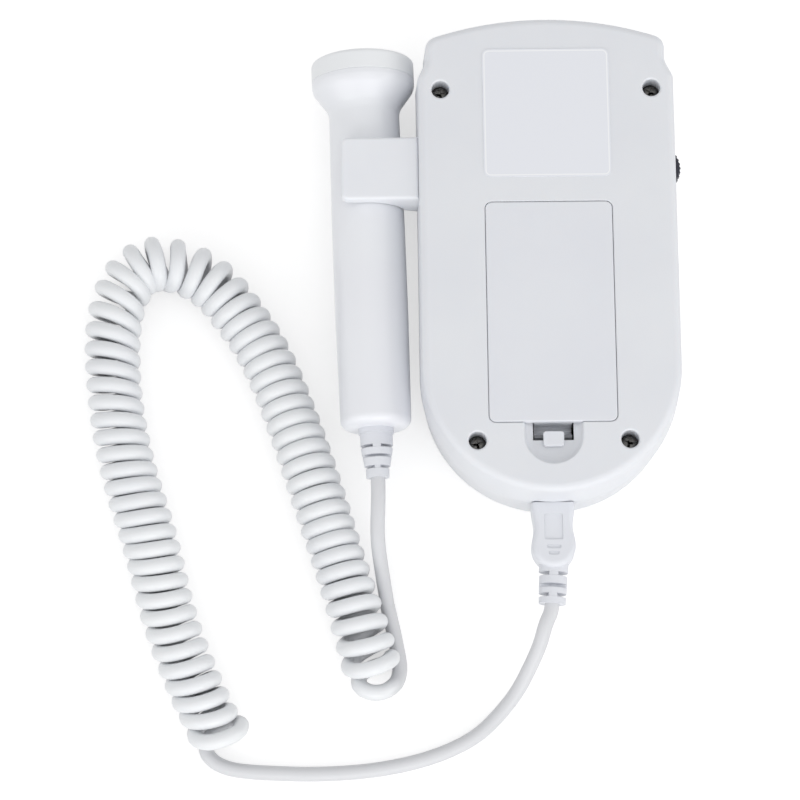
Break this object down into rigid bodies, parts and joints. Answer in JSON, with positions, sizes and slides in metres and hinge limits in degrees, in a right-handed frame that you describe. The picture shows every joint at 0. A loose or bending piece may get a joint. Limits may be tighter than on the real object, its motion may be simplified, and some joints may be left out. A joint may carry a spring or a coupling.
{
  "type": "fetal doppler monitor",
  "caption": "Hand-held fetal doppler monitor with a clip-on torch-shaped probe, a curly cord with a pull-out plug, a battery door, buttons and a volume wheel.",
  "frame": {"origin": "on the flat front face that the monitor lies on, on the case's middle line and halfway along the case", "axes": "+Z out of the rear cover, +Y along the case towards its top end with the display, +X towards the side with the volume wheel"},
  "size_m": [0.1686, 0.2108, 0.0342],
  "materials": {
    "case_plastic": "fine satin",
    "door_plastic": "fine satin",
    "label_paper": "satin",
    "screw_steel": "satin",
    "cell_can": "gloss",
    "contact_steel": "satin",
    "board_laminate": "satin",
    "lcd_glass": "gloss",
    "window_clear": "gloss",
    "button_plastic": "satin",
    "black_plastic": "satin",
    "speaker_cone": "matte",
    "wheel_plastic": "satin",
    "socket_steel": "satin",
    "probe_plastic": "satin",
    "face_plastic": "satin",
    "crystal_ceramic": "satin",
    "backing_rubber": "matte",
    "relief_rubber": "satin",
    "plug_plastic": "satin",
    "shell_steel": "bright",
    "cord_rubber": "satin"
  },
  "bodies": {
    "case": {"rear_cover": "case_plastic", "front_cover": "case_plastic", "rear_label": "label_paper", "case_screws": "screw_steel", "battery_cell_left": "cell_can", "battery_cell_right": "cell_can", "bridge_contact": "contact_steel", "negative_contact": "contact_steel", "positive_contact": "contact_steel", "main_board": "board_laminate", "board_screws": "screw_steel", "lcd_module": "lcd_glass", "display_window": "window_clear", "button_switches": "black_plastic", "speaker": "speaker_cone", "volume_potentiometer": "black_plastic", "earphone_jack": "black_plastic", "probe_socket": "socket_steel", "probe_clip": "case_plastic", "clip_screws": "screw_steel", "coiled_cord": "cord_rubber", "probe_lead": "cord_rubber"},
    "door": {"battery_door": "door_plastic"},
    "latch": {"battery_door_latch": "door_plastic"},
    "wheel": {"volume_wheel": "wheel_plastic"},
    "power": {"power_button": "button_plastic"},
    "mode": {"mode_button": "button_plastic"},
    "probe": {"probe_body": "probe_plastic", "probe_face": "face_plastic", "transducer_crystals": "crystal_ceramic", "transducer_backing": "backing_rubber", "probe_relief": "relief_rubber"},
    "plug": {"plug_body": "plug_plastic", "plug_shell": "shell_steel", "plug_relief": "relief_rubber", "main_lead": "cord_rubber"}
  },
  "joints": [
    {"name": "door_swing", "type": "hinge", "parent": "case", "child": "door", "pos_m": [0, 0.0144, 0.034], "axis": [-1, 0, 0], "range_deg": [0, 75]},
    {"name": "latch_press", "type": "slide", "parent": "door", "child": "latch", "axis": [0, 1, 0], "range_m": [0, 0.0012], "stiffness_N_per_m": 4000},
    {"name": "wheel_turn", "type": "hinge", "parent": "case", "child": "wheel", "pos_m": [0.0313, 0.0288, 0.0163], "axis": [0, 0, 1], "range_deg": [-135, 135]},
    {"name": "power_press", "type": "slide", "parent": "case", "child": "power", "axis": [0, 0, 1], "range_m": [0, 0.0006], "stiffness_N_per_m": 3000},
    {"name": "mode_press", "type": "slide", "parent": "case", "child": "mode", "axis": [0, 0, 1], "range_m": [0, 0.0006], "stiffness_N_per_m": 3000},
    {"name": "probe_slide", "type": "slide", "parent": "case", "child": "probe", "axis": [-0.0249, 0.9997, 0], "range_m": [0, 0.085]},
    {"name": "plug_pull", "type": "slide", "parent": "case", "child": "plug", "axis": [0, -1, 0], "range_m": [0, 0.008]}
  ]
}
